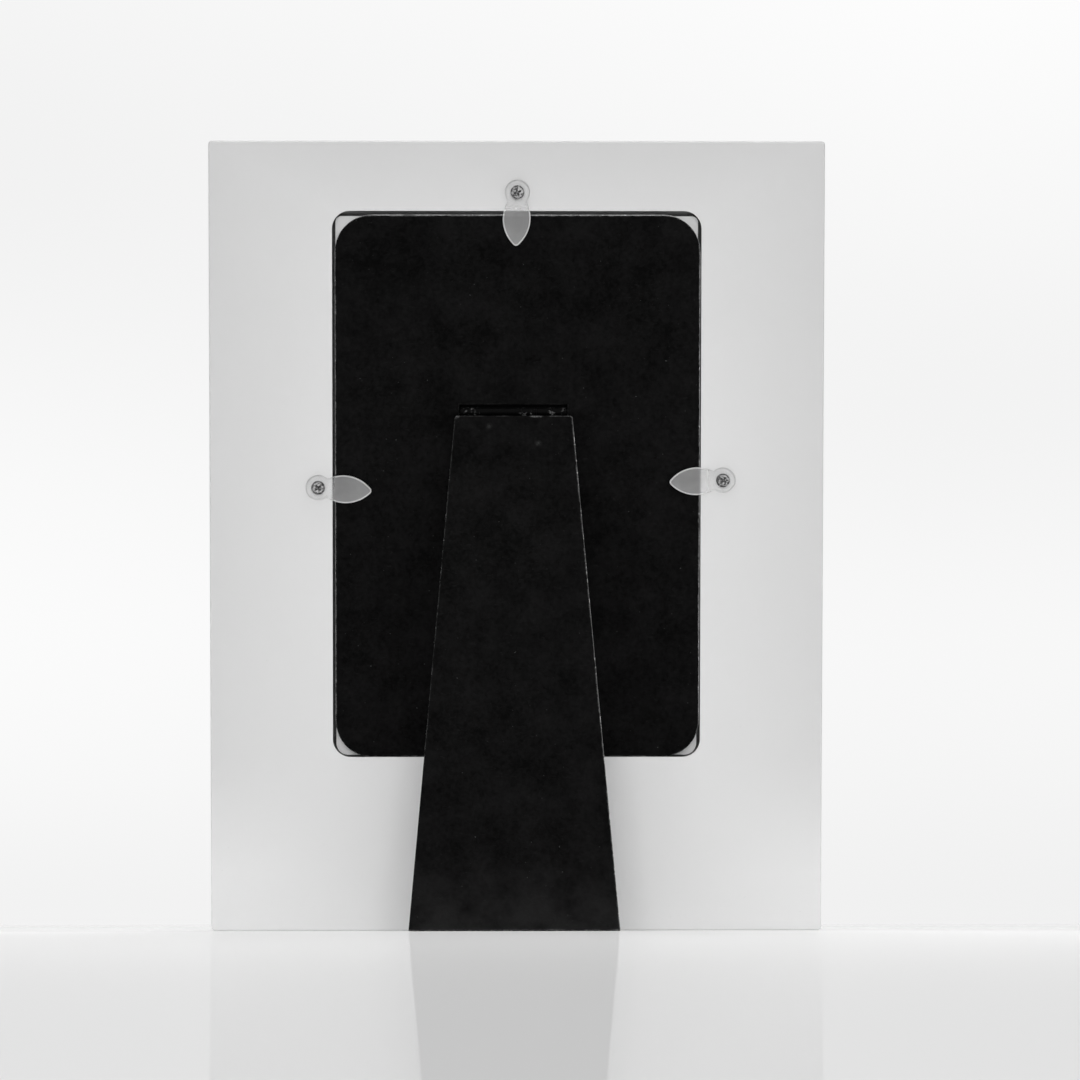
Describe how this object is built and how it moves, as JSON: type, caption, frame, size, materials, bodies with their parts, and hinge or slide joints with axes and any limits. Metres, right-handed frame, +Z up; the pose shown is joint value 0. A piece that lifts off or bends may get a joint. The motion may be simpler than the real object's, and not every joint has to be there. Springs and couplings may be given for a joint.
{
  "type": "easel back photo frame",
  "caption": "Standing photo frame: wide flat panel with rebate and sight window, pane, backing board held by turn buttons, and a hinged tapering easel leg at its stop.",
  "frame": {"origin": "centre of the bounding box's bottom, on the shelf between the panel's rear bottom edge and the leg's foot", "axes": "+Z up, +Y towards the picture side, +X to the right when seen from behind"},
  "size_m": [0.173, 0.0546, 0.2225],
  "materials": {
    "panel_lacquer": "satin",
    "clear_glass": "gloss",
    "insert_paper": "matte",
    "board_core": "matte",
    "black_paper": "matte",
    "hinge_steel": "gloss",
    "button_plastic": "satin",
    "screw_zinc": "polished"
  },
  "bodies": {
    "frame": {"frame_panel": "panel_lacquer", "glass_pane": "clear_glass", "photo_insert": "insert_paper", "backing_board": "board_core", "board_facing": "black_paper", "board_lining": "black_paper", "hinge_board_leaf": "hinge_steel", "hinge_pin": "hinge_steel", "screw_top": "screw_zinc", "screw_left": "screw_zinc", "screw_right": "screw_zinc"},
    "leg": {"leg_core": "board_core", "leg_facing_inner": "black_paper", "leg_facing_outer": "black_paper", "hinge_leg_leaf": "hinge_steel"},
    "button_top": {"turn_button_top": "button_plastic"},
    "button_left": {"turn_button_left": "button_plastic"},
    "button_right": {"turn_button_right": "button_plastic"}
  },
  "joints": [
    {"name": "leg_hinge", "type": "hinge", "parent": "frame", "child": "leg", "pos_m": [-0.0009, -0.00661, 0.14556], "axis": [1, 0, 0], "range_deg": [0, 15.5]},
    {"name": "button_top_turn", "type": "hinge", "parent": "frame", "child": "button_top", "pos_m": [0.00015, -0.01602, 0.20654], "axis": [0, -0.989, -0.1478], "continuous": true},
    {"name": "button_left_turn", "type": "hinge", "parent": "frame", "child": "button_left", "pos_m": [-0.0559, -0.00375, 0.12445], "axis": [0, -0.989, -0.1478], "continuous": true},
    {"name": "button_right_turn", "type": "hinge", "parent": "frame", "child": "button_right", "pos_m": [0.0581, -0.00407, 0.12653], "axis": [0, -0.989, -0.1478], "continuous": true}
  ]
}
